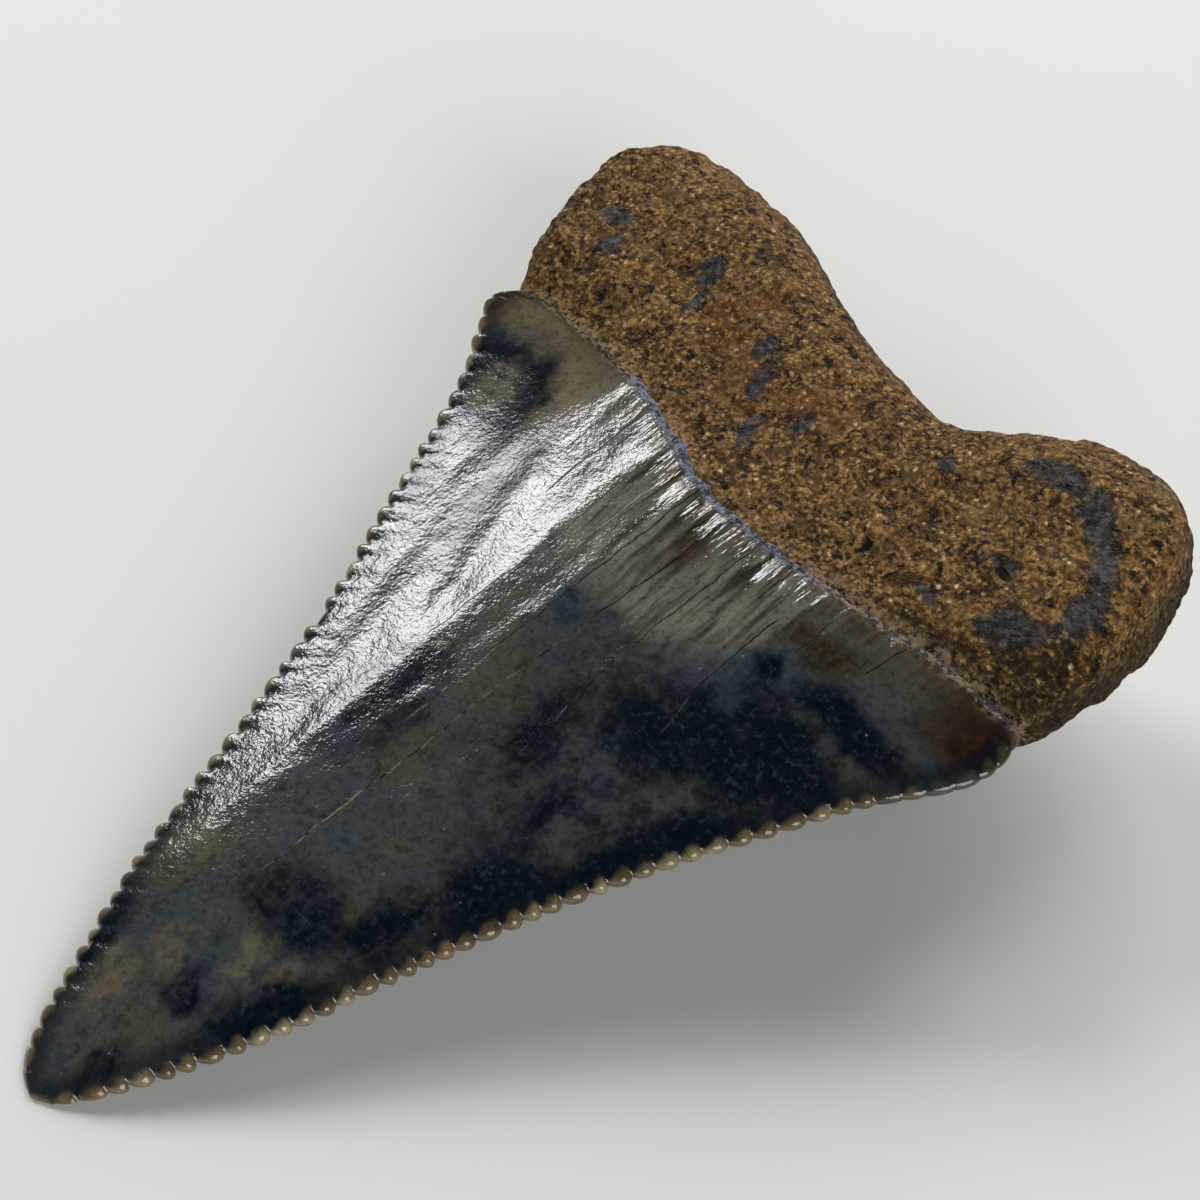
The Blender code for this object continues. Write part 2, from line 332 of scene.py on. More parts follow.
def tube_mesh(name: str, places: Array, notes: dict[str, Array]) -> bpy.types.Mesh:
    """Wrap a grid into a closed tube with a fan of faces over each end.

    Args:
        name: The mesh's name.
        places: The points in metres, one row of points for each ring.
        notes: Values that go with the points, kept on the mesh as attributes.

    Returns:
        The closed mesh, shaded smooth.
    """
    rows, ring = places.shape[:2]
    sheet = bmesh.new()
    bmesh.ops.create_grid(sheet, x_segments=ring, y_segments=rows - 1, size=0.5)
    mesh = bpy.data.meshes.new(name)
    sheet.to_mesh(mesh)
    sheet.free()
    flat = np.empty(len(mesh.vertices) * 3, np.float32)
    mesh.vertices.foreach_get("co", flat)
    column = np.rint((flat[0::3] + 0.5) * ring).astype(int) % ring
    row = np.rint((flat[1::3] + 0.5) * (rows - 1)).astype(int)
    mesh.vertices.foreach_set("co", places[row, column].astype(np.float32).ravel())
    for title, values in notes.items():
        layer = mesh.attributes.new(title, "FLOAT", "POINT")
        layer.data.foreach_set("value", values[row, column].astype(np.float32))
    tube = bmesh.new()
    tube.from_mesh(mesh)
    seam = [vert for vert in tube.verts if vert.is_boundary]
    bmesh.ops.remove_doubles(tube, verts=seam, dist=SAME_PLACE)
    rims = [edge for edge in tube.edges if edge.is_boundary]
    caps = bmesh.ops.holes_fill(tube, edges=rims, sides=0)["faces"]
    bmesh.ops.poke(tube, faces=caps)
    bmesh.ops.recalc_face_normals(tube, faces=tube.faces)
    tube.to_mesh(mesh)
    tube.free()
    mesh.shade_smooth()
    return mesh


def show(name: str, mesh: bpy.types.Mesh, material: bpy.types.Material) -> bpy.types.Object:
    """Put a finished mesh in the scene, riding on the tooth's body.

    Args:
        name: The piece's name.
        mesh: Its mesh, already in the frame.
        material: Its finish.

    Returns:
        The piece.
    """
    piece = bpy.data.objects.new(name, mesh)
    bpy.context.scene.collection.objects.link(piece)
    mesh.materials.append(material)
    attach(piece, "root")
    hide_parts(NODE)
    return piece


class Signal:
    """A number in a shader. Arithmetic on it adds Math nodes."""

    def __init__(self, graph: "Graph", socket: Socket) -> None:
        """Wrap an output socket of a graph."""
        self.graph = graph
        self.socket = socket

    def __add__(self, other: "Number") -> "Signal":
        """Add a number."""
        return self.graph.math("ADD", self, other)

    __radd__ = __add__

    def __sub__(self, other: "Number") -> "Signal":
        """Take a number away."""
        return self.graph.math("SUBTRACT", self, other)

    def __rsub__(self, other: "Number") -> "Signal":
        """Take this away from a number."""
        return self.graph.math("SUBTRACT", other, self)

    def __mul__(self, other: "Number") -> "Signal":
        """Multiply by a number."""
        return self.graph.math("MULTIPLY", self, other)

    __rmul__ = __mul__

    def __abs__(self) -> "Signal":
        """Drop the sign."""
        return self.graph.math("ABSOLUTE", self)

    def ramp(self, low: float, high: float) -> "Signal":
        """Ease from 0 to 1 between two values.

        Args:
            low: The value that reads 0.
            high: The value that reads 1. It may be the smaller one.

        Returns:
            The eased signal.
        """
        sockets = {"Value": self, 1: low, 2: high}
        if low > high:
            sockets = {"Value": self, 1: high, 2: low, 3: 1.0, 4: 0.0}
        made = self.graph.node("ShaderNodeMapRange", {"interpolation_type": "SMOOTHSTEP"}, sockets)
        return Signal(self.graph, made.outputs[0])


Number = Signal | float
Tone = Socket | Colour


@dataclass(frozen=True)
class Patch:
    """An oval stain on the outer face: its middle, its half sizes and its turn in degrees."""

    q: float
    s: float
    across: float
    along: float
    turn: float = 0.0


@dataclass(frozen=True)
class Crack:
    """A hairline crack that runs along the blade, from one point to another."""

    start: tuple[float, float]
    end: tuple[float, float]
    width: float = 0.05


class Graph:
    """The nodes of one material."""

    def __init__(self, name: str) -> None:
        """Start a material with an empty node tree."""
        self.material = bpy.data.materials.new(name)
        self.material.use_nodes = True
        self.tree = self.material.node_tree
        self.tree.nodes.clear()

    def node(self, kind: str, settings: dict | None = None, sockets: dict | None = None) -> Node:
        """Add a node.

        Args:
            kind: The node's type.
            settings: Its properties, set before its sockets.
            sockets: Values or links for its inputs, by name or number.

        Returns:
            The node.
        """
        made = self.tree.nodes.new(kind)
        for key, value in (settings or {}).items():
            setattr(made, key, value)
        for key, value in (sockets or {}).items():
            self.feed(made.inputs[key], value)
        return made

    def feed(self, socket: Socket, value: Number | Tone) -> None:
        """Link a signal or a socket to an input, or set the input's own value.

        Args:
            socket: The input.
            value: A signal, an output socket, a number, a vector or a colour.
        """
        if isinstance(value, Signal):
            value = value.socket
        if isinstance(value, Socket):
            self.tree.links.new(value, socket)
        elif socket.type == "RGBA":
            socket.default_value = (*value, 1.0)
        else:
            socket.default_value = value

    def math(self, operation: str, *values: Number) -> Signal:
        """Add a Math node on up to three numbers."""
        made = self.node("ShaderNodeMath", {"operation": operation}, dict(enumerate(values)))
        return Signal(self, made.outputs[0])

    def vector(self, operation: str, first: Tone, second: Tone | None = None, **more: Number) -> Node:
        """Add a Vector Math node.

        Args:
            operation: What it does.
            first: The first vector.
            second: The second vector, where there is one.
            **more: Further inputs by name, such as Scale.

        Returns:
            The node, whose first output is a vector and whose second is a number.
        """
        sockets = {0: first, **more}
        if second is not None:
            sockets[1] = second
        return self.node("ShaderNodeVectorMath", {"operation": operation}, sockets)

    def mix(self, share: Number, first: Tone, second: Tone, mode: str = "MIX") -> Socket:
        """Mix two colours.

        Args:
            share: How much of the second colour there is.
            first: The colour at 0.
            second: The colour at 1.
            mode: The way of mixing.

        Returns:
            The mixed colour's socket.
        """
        settings = {"data_type": "RGBA", "blend_type": mode}
        return self.node("ShaderNodeMix", settings, {0: share, 6: first, 7: second}).outputs[2]

    def blade_place(self, blade: Blade) -> Socket:
        """Read the blade's own millimetres from the Object coordinates.

        Args:
            blade: The blade, for its slope and its place.

        Returns:
            The socket of the vector q, s, h.
        """
        x, y, _ = blade.origin()
        turned = (-x, -y * math.cos(blade.slope), y * math.sin(blade.slope))
        sockets = {"Vector": self.node("ShaderNodeTexCoord").outputs["Object"], "Location": turned,
                   "Rotation": (-blade.slope, 0.0, 0.0), "Scale": (1.0 / MM,) * 3}
        return self.node("ShaderNodeMapping", {"vector_type": "POINT"}, sockets).outputs[0]

    def split(self, vector: Socket) -> tuple[Signal, ...]:
        """Split a vector into its three numbers."""
        made = self.node("ShaderNodeSeparateXYZ", sockets={0: vector})
        return tuple(Signal(self, output) for output in made.outputs)

    def note(self, name: str) -> Signal:
        """Read one of the values that a piece's mesh keeps at its points."""
        made = self.node("ShaderNodeAttribute", {"attribute_type": "GEOMETRY", "attribute_name": name})
        return Signal(self, made.outputs["Fac"])

    def stretch(self, vector: Socket, scale: tuple[float, float, float]) -> Socket:
        """Scale a vector along its axes."""
        return self.vector("MULTIPLY", vector, scale).outputs[0]

    def noise(self, vector: Socket, size: float, detail: float = 2.0, rough: float = 0.5) -> Node:
        """Add a Noise Texture.

        Args:
            vector: Where it is read, in millimetres.
            size: The size of its lumps in millimetres.
            detail: How many finer layers it has.
            rough: How strong the finer layers are.

        Returns:
            The node, with a number and a colour as outputs.
        """
        sockets = {"Vector": vector, "Scale": 1.0 / size, "Detail": detail, "Roughness": rough}
        return self.node("ShaderNodeTexNoise", {"noise_dimensions": "3D"}, sockets)

    def lumps(self, vector: Socket, size: float, detail: float = 2.0, rough: float = 0.5) -> Signal:
        """Read the number of a Noise Texture, around 0.5."""
        return Signal(self, self.noise(vector, size, detail, rough).outputs[0])

    def warp(self, vector: Socket, size: float, reach: float) -> Socket:
        """Push a vector about with smooth noise, so that what reads it has wandering borders.

        Args:
            vector: The vector in millimetres.
            size: The size of the noise's lumps.
            reach: How far it may push.

        Returns:
            The pushed vector.
        """
        colour = self.noise(vector, size, 1.0).outputs[1]
        centred = self.vector("SUBTRACT", colour, (0.5, 0.5, 0.5)).outputs[0]
        pushed = self.vector("SCALE", centred, Scale=2.0 * reach).outputs[0]
        return self.vector("ADD", vector, pushed).outputs[0]

    def cells(self, vector: Socket, size: float) -> Node:
        """Add a Voronoi Texture with grains of a size in millimetres."""
        return self.node("ShaderNodeTexVoronoi", sockets={"Vector": vector, "Scale": 1.0 / size})

    def stains(self, vector: Socket, patches: tuple[Patch, ...], soft: float, ragged: Number) -> Signal:
        """Mark oval stains that run into each other.

        Args:
            vector: Where they are read, in the blade's millimetres.
            patches: The ovals.
            soft: How soft their borders are, as a share of their size.
            ragged: Noise that moves their borders in and out.

        Returns:
            1 inside the stains and 0 outside.
        """
        nearest = None
        for patch in patches:
            sockets = {"Vector": vector, "Location": (patch.q, patch.s, 0.0),
                       "Rotation": (0.0, 0.0, math.radians(patch.turn)),
                       "Scale": (patch.across, patch.along, ENDLESS)}
            placed = self.node("ShaderNodeMapping", {"vector_type": "TEXTURE"}, sockets).outputs[0]
            away = Signal(self, self.vector("LENGTH", placed).outputs["Value"])
            nearest = away if nearest is None else self.math("SMOOTH_MIN", nearest, away, STAIN_MERGE)
        return (nearest + ragged).ramp(1.0 + soft, 1.0 - soft)

    def hairline(self, q: Signal, s: Signal, crack: Crack) -> Signal:
        """Mark a crack.

        Args:
            q: Places across the blade, with the crack's wander in them.
            s: Places along the blade.
            crack: The crack.

        Returns:
            1 on the crack and 0 beside it, fading out at its ends.
        """
        (start_q, start_s), (end_q, end_s) = crack.start, crack.end
        lean = (end_q - start_q) / (end_s - start_s)
        off = abs(q - (s - start_s) * lean - start_q)
        middle = 0.5 * (start_s + end_s)
        reach = 0.5 * abs(end_s - start_s)
        window = abs(s - middle).ramp(reach, CRACK_FADE * reach)
        return off.ramp(1.2 * crack.width, 0.3 * crack.width) * window

    def finish(self, sockets: dict, height: Signal) -> bpy.types.Material:
        """Close the material with its shader.

        Args:
            sockets: The shader's inputs.
            height: Its relief in millimetres.

        Returns:
            The material.
        """
        bump = self.node("ShaderNodeBump", sockets={"Height": height, "Strength": 1.0, "Distance": MM})
        shader = self.node("ShaderNodeBsdfPrincipled", sockets={**sockets, "Normal": bump.outputs[0]})
        out = self.node("ShaderNodeOutputMaterial")
        self.tree.links.new(shader.outputs[0], out.inputs["Surface"])
        return self.material


@dataclass(frozen=True)
class EnamelFinish:
    """Glossy enamel: dark blue and taupe stains, cracks, and tan beads along the cutting edges."""

    slate: Colour = (0.044, 0.058, 0.07)
    olive: Colour = (0.076, 0.07, 0.047)
    taupe: Colour = (0.2, 0.178, 0.135)
    buff: Colour = (0.27, 0.22, 0.135)
    ink: Colour = (0.001, 0.0042, 0.0105)
    haze_and_sheen: Colour = (0.055, 0.072, 0.088)
    tan: Colour = (0.16, 0.128, 0.075)
    amber: Colour = (0.075, 0.026, 0.004)
    umber: Colour = (0.012, 0.0045, 0.001)
    scorched: Colour = (0.03, 0.0165, 0.0035)
    bead_pale: Colour = (0.36, 0.29, 0.17)
    bead_amber: Colour = (0.17, 0.12, 0.055)
    crack_dark: Colour = (0.006, 0.005, 0.004)
    crack_tan: Colour = (0.26, 0.18, 0.095)
    rim_pale: Colour = (0.2, 0.24, 0.3)

    ink_patches: tuple[Patch, ...] = (
        Patch(-15.2, 40.4, 2.0, 1.0, 10.0), Patch(-12.3, 40.3, 1.2, 1.9, 20.0), Patch(-16.2, 38.6, 1.0, 1.8),
        Patch(-12.2, 37.2, 2.6, 1.5, -20.0), Patch(-9.2, 35.5, 1.1, 4.0, 12.0),
        Patch(-13.6, 34.4, 0.9, 3.4, 24.0), Patch(8.5, 36.4, 0.8, 1.0),
        Patch(13.2, 37.0, 3.5, 1.3, -4.0), Patch(12.0, 34.2, 3.7, 2.2, -12.0),
        Patch(9.8, 32.2, 3.6, 1.7, -8.0), Patch(7.0, 30.6, 2.4, 1.5, -10.0), Patch(3.4, 27.2, 1.2, 2.4, 10.0),
        Patch(11.7, 28.4, 0.9, 2.4, -20.0), Patch(10.2, 24.4, 1.0, 3.0, -18.0), Patch(-3.4, 24.2, 2.0, 3.4),
        Patch(6.4, 24.6, 0.5, 1.2), Patch(7.6, 20.4, 2.1, 3.6, -22.0),
        Patch(2.0, 13.9, 2.8, 1.7), Patch(5.6, 16.4, 1.4, 3.4, -18.0), Patch(-3.8, 7.4, 1.1, 2.4, 22.0),
        Patch(1.6, 8.0, 1.3, 1.0), Patch(4.9, 9.6, 1.2, 2.9, -24.0), Patch(1.6, 3.2, 0.6, 1.5))
    pale_in_ink: tuple[Patch, ...] = (
        Patch(-14.1, 39.3, 1.2, 1.15), Patch(13.1, 35.6, 0.5, 0.8), Patch(9.8, 28.5, 0.8, 1.3),
        Patch(6.6, 27.4, 2.2, 1.2), Patch(8.0, 24.4, 1.1, 1.5), Patch(3.6, 22.4, 1.9, 1.2),
        Patch(1.4, 20.6, 1.4, 1.9), Patch(4.8, 18.2, 0.9, 1.1))
    umber_patches: tuple[Patch, ...] = (Patch(0.9, 39.0, 1.3, 2.3), Patch(9.6, 39.0, 2.2, 0.8, 16.0))
    tan_spots: tuple[Patch, ...] = (
        Patch(2.3, 10.8, 0.8, 1.5, 10.0), Patch(4.0, 11.6, 0.5, 0.7), Patch(-1.6, 6.0, 0.9, 1.6, 20.0),
        Patch(-4.3, 12.8, 0.9, 1.2), Patch(-14.1, 39.4, 1.3, 1.2), Patch(-0.6, 9.0, 0.9, 1.4, 20.0))
    cracks: tuple[Crack, ...] = (
        Crack((-1.1, 42.0), (-1.4, 32.0)), Crack((-1.4, 32.8), (-1.7, 23.2)),
        Crack((-4.2, 43.2), (-4.2, 34.2)), Crack((-4.2, 35.0), (-4.7, 27.0), 0.04),
        Crack((-6.6, 43.5), (-6.8, 36.2)), Crack((-7.9, 43.8), (-8.0, 38.6), 0.035),
        Crack((-2.9, 42.0), (-3.1, 35.0), 0.035), Crack((1.3, 41.2), (0.5, 32.4)),
        Crack((0.55, 33.4), (0.0, 26.0), 0.055), Crack((0.1, 27.4), (-0.5, 13.6), 0.06),
        Crack((3.3, 40.8), (3.0, 31.0), 0.045), Crack((3.0, 31.8), (3.5, 25.6), 0.045),
        Crack((6.9, 38.8), (6.8, 33.8)), Crack((6.8, 34.6), (7.25, 30.8)), Crack((12.2, 41.6), (11.8, 39.2)),
        Crack((5.4, 41.0), (5.5, 38.6), 0.03), Crack((8.9, 40.6), (8.8, 37.8), 0.03))
    index: float = 1.62

    def make(self, blade: Blade) -> bpy.types.Material:
        """Build the enamel's material.

        Args:
            blade: The blade that it is read over.

        Returns:
            The material.
        """
        graph = Graph("enamel")
        place = graph.blade_place(blade)
        q, s, h = graph.split(place)
        outer = h.ramp(-0.6, -0.1)
        drift = graph.warp(graph.warp(place, 2.6, 0.9), 0.8, 0.28)
        ragged = (graph.lumps(place, 1.2, 4.0, 0.62) - 0.5) * 1.3
        broad = graph.lumps(drift, 4.5, 3.0, 0.55)
        mottle = graph.lumps(drift, 1.3, 3.0, 0.6)

        tone = graph.mix(broad.ramp(0.36, 0.62), self.slate, self.olive)
        tone = graph.mix(mottle.ramp(0.5, 0.72) * 0.55, tone, self.haze_and_sheen)
        tone = graph.mix(mottle.ramp(0.46, 0.3) * 0.45, tone, self.ink)
        above = s - 33.8 - q.ramp(4.6, 9.6) * 4.4 - q.ramp(-8.8, -12.8) * 7.4 + (mottle - 0.5) * 3.0
        above = above + (broad - 0.5) * 5.0
        streak = graph.lumps(graph.stretch(graph.warp(place, 2.4, 0.3), (1.0, 0.09, 1.0)), 0.55, 3.0, 0.6)
        base = graph.mix(streak.ramp(0.32, 0.6) * q.ramp(11.0, 5.0), self.olive, self.taupe)
        base = graph.mix(q.ramp(-8.5, -11.5) * 0.8, base, self.buff)
        tone = graph.mix(above.ramp(-1.0, 1.8), tone, base)
        umber = above.ramp(0.5, 3.0) * streak.ramp(0.56, 0.3) * q.ramp(-9.0, -2.0)
        tone = graph.mix(umber * (0.2 + broad.ramp(0.58, 0.42) * 0.45), tone, self.umber)
        scorch = graph.stains(drift, self.umber_patches, 0.7, ragged * 0.7)
        scorch = scorch * (0.65 + streak.ramp(0.6, 0.4) * 0.3)
        tone = graph.mix(scorch * outer, tone, self.scorched)
        cloud = graph.lumps(place, 0.9, 4.0, 0.66)
        ink = graph.stains(drift, self.ink_patches, 0.55, ragged) * outer
        hidden = graph.lumps(drift, 6.0, 2.0).ramp(0.52, 0.6) * (1.0 - outer)
        depth = 0.62 + q.ramp(1.0, 8.0) * 0.3 + q.ramp(-6.0, -9.0) * 0.2 + cloud.ramp(0.6, 0.4) * 0.26
        tone = graph.mix((ink + hidden) * depth.ramp(0.0, 1.0), tone, self.ink)
        # Painted shade: the outer face darkens towards its right side, from q -1.5 to 5, between s 18 and 35.
        shade_to_right = q.ramp(-1.5, 5.0) * s.ramp(35.0, 32.0) * s.ramp(18.0, 25.0)
        shade_to_right = shade_to_right * (0.35 + cloud.ramp(0.62, 0.4) * 0.45)
        tone = graph.mix(shade_to_right * outer, tone, self.ink)
        grit_and_sheen = graph.lumps(place, 0.34, 3.0, 0.7)
        tone = graph.mix(grit_and_sheen.ramp(0.54, 0.34) * 0.42, tone, self.ink)
        # The pale half of the fine grain is partly pale mottling, partly a painted sheen on the enamel.
        tone = graph.mix(grit_and_sheen.ramp(0.5, 0.72) * 0.36, tone, self.haze_and_sheen)
        pale = graph.stains(drift, self.pale_in_ink, 0.5, ragged) * outer
        on_left = q.ramp(-7.0, -11.0)
        pale_tone = graph.mix(on_left, graph.mix(mottle.ramp(0.4, 0.6), self.haze_and_sheen, self.olive), self.taupe)
        tone = graph.mix(pale * cloud.ramp(0.35, 0.6) * (0.5 + on_left * 0.3), tone, pale_tone)
        spots = graph.stains(drift, self.tan_spots, 0.6, ragged) * outer
        tone = graph.mix(spots * cloud.ramp(0.35, 0.6) * 0.7, tone, self.tan)
        brown = q.ramp(13.0, 17.5) * s.ramp(37.6, 39.4)
        tone = graph.mix(brown * 0.95, tone, graph.mix(cloud.ramp(0.44, 0.7) * 0.7, self.umber, self.amber))
        tone = graph.mix(q.ramp(-16.0, -18.6) * s.ramp(41.4, 42.8) * 0.7, tone, self.amber)

        # The step at the enamel line: warm beside it, with painted shade in it, and a broken pale crust.
        base_mm = graph.note("base_mm")
        warmth = base_mm.ramp(1.6, 0.2) * (0.35 + 0.5 * streak.ramp(0.4, 0.7))
        warmth = warmth + base_mm.ramp(2.6, 0.4) * q.ramp(-8.0, -11.0) * cloud.ramp(0.38, 0.6) * 0.4
        tone = graph.mix(warmth * 0.5, tone, self.amber)
        crumble = graph.lumps(place, 0.32, 3.0, 0.7)
        # A broken pale crust on the ledge's edge: partly a real crust, partly a painted highlight where the
        # edge catches the light.
        crust_and_glint = base_mm.ramp(0.7, 0.1) * (crumble + (mottle - 0.5) * 0.4).ramp(0.47, 0.55)
        # Painted shade in the step down to the root: ink over most of it, umber at the far left.
        step_shade_tone = graph.mix(q.ramp(-8.0, -11.0), self.ink, self.umber)
        tone = graph.mix(base_mm.ramp(0.35, 0.05) * 0.95, tone, step_shade_tone)
        crust_and_glint_tone = graph.mix(q.ramp(4.0, 9.0) + q.ramp(-8.0, -10.0), self.rim_pale, self.crack_tan)
        tone = graph.mix(crust_and_glint * 0.75, tone, crust_and_glint_tone)

        # The beads along the cutting edges, each of its own tone, with a dark line behind them.
        edge_mm = graph.note("edge_mm")
        ridge = graph.note("ridge")
        bead = graph.note("bead_tone")
        worn = graph.note("bead_size")
        tone = graph.mix(edge_mm.ramp(2.1, 0.9) * 0.6, tone, self.ink)
        bead_tone = graph.mix(bead.ramp(0.45, 1.0) + q.ramp(0.0, -3.0) * 0.3, self.bead_amber, self.bead_pale)
        bead_tone = graph.mix(mottle.ramp(0.55, 0.4) * 0.35, bead_tone, self.umber)
        reach = edge_mm + (1.0 - ridge) * 0.5 + q.ramp(-2.0, 2.0) * 0.15 + (cloud - 0.5) * 0.8
        # The tan on the beads is partly their own colour, partly painted light shining through the thin
        # translucent beads.
        lit = reach.ramp(0.9, 0.3) * worn.ramp(0.1, 0.5)
        tone = graph.mix(lit * 0.9, tone, bead_tone)

        # Hairline cracks, dark near the base and with tan glints towards the tip.
        wander = (graph.lumps(place, 1.7, 3.0, 0.6) - 0.5) * 0.5
        line = None
        for crack in self.cracks:
            mark = graph.hairline(q + wander, s, crack)
            line = mark if line is None else graph.math("MAXIMUM", line, mark)
        line = line * outer
        glints = s.ramp(38.0, 22.0) * graph.lumps(place, 0.9, 3.0, 0.7).ramp(0.4, 0.65)
        tone = graph.mix(line * 0.95, tone, graph.mix(glints, self.crack_dark, self.crack_tan))
        flecks = Signal(graph, graph.cells(place, 1.1).outputs[0]).ramp(0.09, 0.05)
        tone = graph.mix(flecks * mottle.ramp(0.5, 0.6) * 0.5, tone, self.rim_pale)

        # Relief in millimetres: hammered all over, scratched along the blade and frayed at the base.
        hammered = graph.lumps(place, 0.22, 2.0, 0.6) * 0.03 + graph.lumps(place, 0.7, 2.0) * 0.045
        hammered = hammered + graph.lumps(place, 0.12, 1.0) * 0.009
        hammered = hammered * (0.6 + q.ramp(-2.5, -4.5) * s.ramp(9.0, 15.0) * 0.4)
        scratches = graph.lumps(graph.stretch(place, (1.0, 0.1, 1.0)), 0.22, 2.0) * 0.006
        frays = graph.lumps(graph.stretch(place, (1.0, 0.16, 1.0)), 0.5, 3.0) * base_mm.ramp(2.8, 0.2)
        frays = frays * q.ramp(-9.0, -5.0) * q.ramp(10.0, 6.0)
        corner = q.ramp(-8.5, -13.0) * (s.ramp(36.5, 47.0) * 1.5 + s.ramp(40.5, 46.5) * 1.2)
        height = hammered + scratches + corner + frays * 0.3 + crumble * base_mm.ramp(0.5, 0.1) * 0.16
        height = height - line * q.ramp(-2.5, -4.0) * 0.03
        rough = 0.15 + (mottle - 0.5) * 0.1 + base_mm.ramp(0.3, 0.05) * 0.7 + line * q.ramp(-1.0, -4.0) * 0.45
        rough = rough + q.ramp(-3.5, -5.5) * (0.02 + ink * 0.1)
        return graph.finish({"Base Color": tone, "Roughness": rough, "IOR": self.index}, height)


@dataclass(frozen=True)
class RootFinish:
    """Matt grainy brown root, with golden specks, dark pits and blue-grey patches."""

    dark: Colour = (0.011, 0.005, 0.0013)
    brown: Colour = (0.137, 0.07, 0.019)
    gold: Colour = (0.48, 0.28, 0.09)
    cream: Colour = (0.8, 0.64, 0.38)
    rust: Colour = (0.17, 0.06, 0.015)
    moss: Colour = (0.16, 0.115, 0.045)
    pit: Colour = (0.003, 0.0017, 0.0008)
    grey: Colour = (0.07, 0.072, 0.073)
    grey_dark: Colour = (0.006, 0.008, 0.011)
    rim: Colour = (0.4, 0.25, 0.12)
    rim_rosy: Colour = (0.27, 0.19, 0.12)

    grey_patches: tuple[Patch, ...] = (
        Patch(-17.5, 50.5, 1.1, 0.5), Patch(-16.4, 49.2, 0.5, 0.8, 20.0), Patch(-11.0, 51.0, 0.7, 0.9),
        Patch(-10.3, 49.2, 0.3, 0.9), Patch(-5.3, 49.3, 0.5, 0.8, 10.0), Patch(-4.0, 47.6, 0.5, 0.9, 20.0),
        Patch(-2.4, 45.4, 0.5, 1.1, 10.0), Patch(-0.6, 47.4, 0.35, 0.8), Patch(6.4, 50.0, 0.6, 0.5),
        Patch(10.6, 53.0, 1.8, 0.7, 5.0), Patch(13.6, 52.4, 1.7, 0.8, -35.0), Patch(12.0, 47.9, 0.8, 0.5),
        Patch(15.7, 50.6, 0.7, 1.7, 35.0), Patch(16.7, 48.2, 0.9, 1.5, -5.0),
        Patch(14.9, 45.5, 1.9, 0.9, 30.0), Patch(10.6, 44.3, 0.8, 0.4))
    shaded_side_patches: tuple[Patch, ...] = (Patch(17.8, 44.6, 3.4, 2.4, 30.0), Patch(12.4, 42.8, 3.4, 0.7, 6.0))
    pits: tuple[Patch, ...] = (
        Patch(6.7, 44.4, 0.16, 0.55, -12.0), Patch(8.6, 44.0, 0.1, 0.5, -30.0), Patch(12.4, 47.5, 0.35, 0.25))
    index: float = 1.5
    shine: float = 0.2

    def make(self, blade: Blade) -> bpy.types.Material:
        """Build the root's material.

        Args:
            blade: The blade whose millimetres it is read in.

        Returns:
            The material.
        """
        graph = Graph("root_dentine")
        place = graph.blade_place(blade)
        q, s, h = graph.split(place)
        outer = h.ramp(-2.5, -1.0)
        drift = graph.warp(place, 1.2, 0.35)
        ragged = (graph.lumps(place, 0.5, 3.0, 0.65) - 0.5) * 1.1
        broad = graph.lumps(place, 5.0, 3.0, 0.55)
        patchy = graph.lumps(drift, 1.7, 3.0, 0.6)
        fine = graph.lumps(place, 0.5, 4.0, 0.74)
        speck = graph.lumps(place, 0.24, 2.0, 0.6)
        crumbs = graph.cells(graph.warp(place, 0.3, 0.12), 0.3)
        chance = graph.vector("DOT_PRODUCT", crumbs.outputs[1], (1.0, 0.0, 0.0)).outputs["Value"]
        crumb = Signal(graph, chance).ramp(0.7, 0.8) * Signal(graph, crumbs.outputs[0]).ramp(0.6, 0.3)

        tone = graph.mix(fine.ramp(0.39, 0.5), self.dark, self.brown)
        tone = graph.mix(fine.ramp(0.53, 0.66) * 0.6, tone, self.gold)
        tone = graph.mix(speck.ramp(0.53, 0.64) * 0.5, tone, self.gold)
        tone = graph.mix(speck.ramp(0.46, 0.37) * 0.6, tone, self.dark)
        tone = graph.mix(broad.ramp(0.5, 0.7) * 0.5, tone, self.rust)
        tone = graph.mix(patchy.ramp(0.54, 0.7) * 0.5, tone, self.moss)
        tone = graph.mix(patchy.ramp(0.48, 0.32) * 0.65, tone, self.dark)
        tone = graph.mix(crumb * 0.6, tone, self.gold)
        tone = graph.mix(speck.ramp(0.58, 0.68) * crumb * 0.85, tone, self.cream)
        # The holes are hollows painted near black: partly their own dark colour, partly painted shade in
        # them.
        holes = graph.lumps(drift, 0.7, 3.0, 0.7).ramp(0.41, 0.34)
        tone = graph.mix(holes * 0.92, tone, self.pit)
        broken = (fine + (speck - 0.5) * 0.5).ramp(0.32, 0.42)
        grey = graph.stains(drift, self.grey_patches, 0.25, ragged * 1.2) * outer * broken
        tone = graph.mix(grey * 0.92, tone, graph.mix(fine.ramp(0.44, 0.62), self.grey_dark, self.grey))
        # Painted shade on the steep right side wall, with its own dark striations.
        side = graph.stains(drift, self.shaded_side_patches, 0.4, ragged * 0.6)
        strands = graph.lumps(graph.stretch(drift, (0.25, 1.0, 1.0)), 0.3, 3.0)
        tone = graph.mix(side * 0.8 * strands.ramp(0.64, 0.46), tone, self.dark)
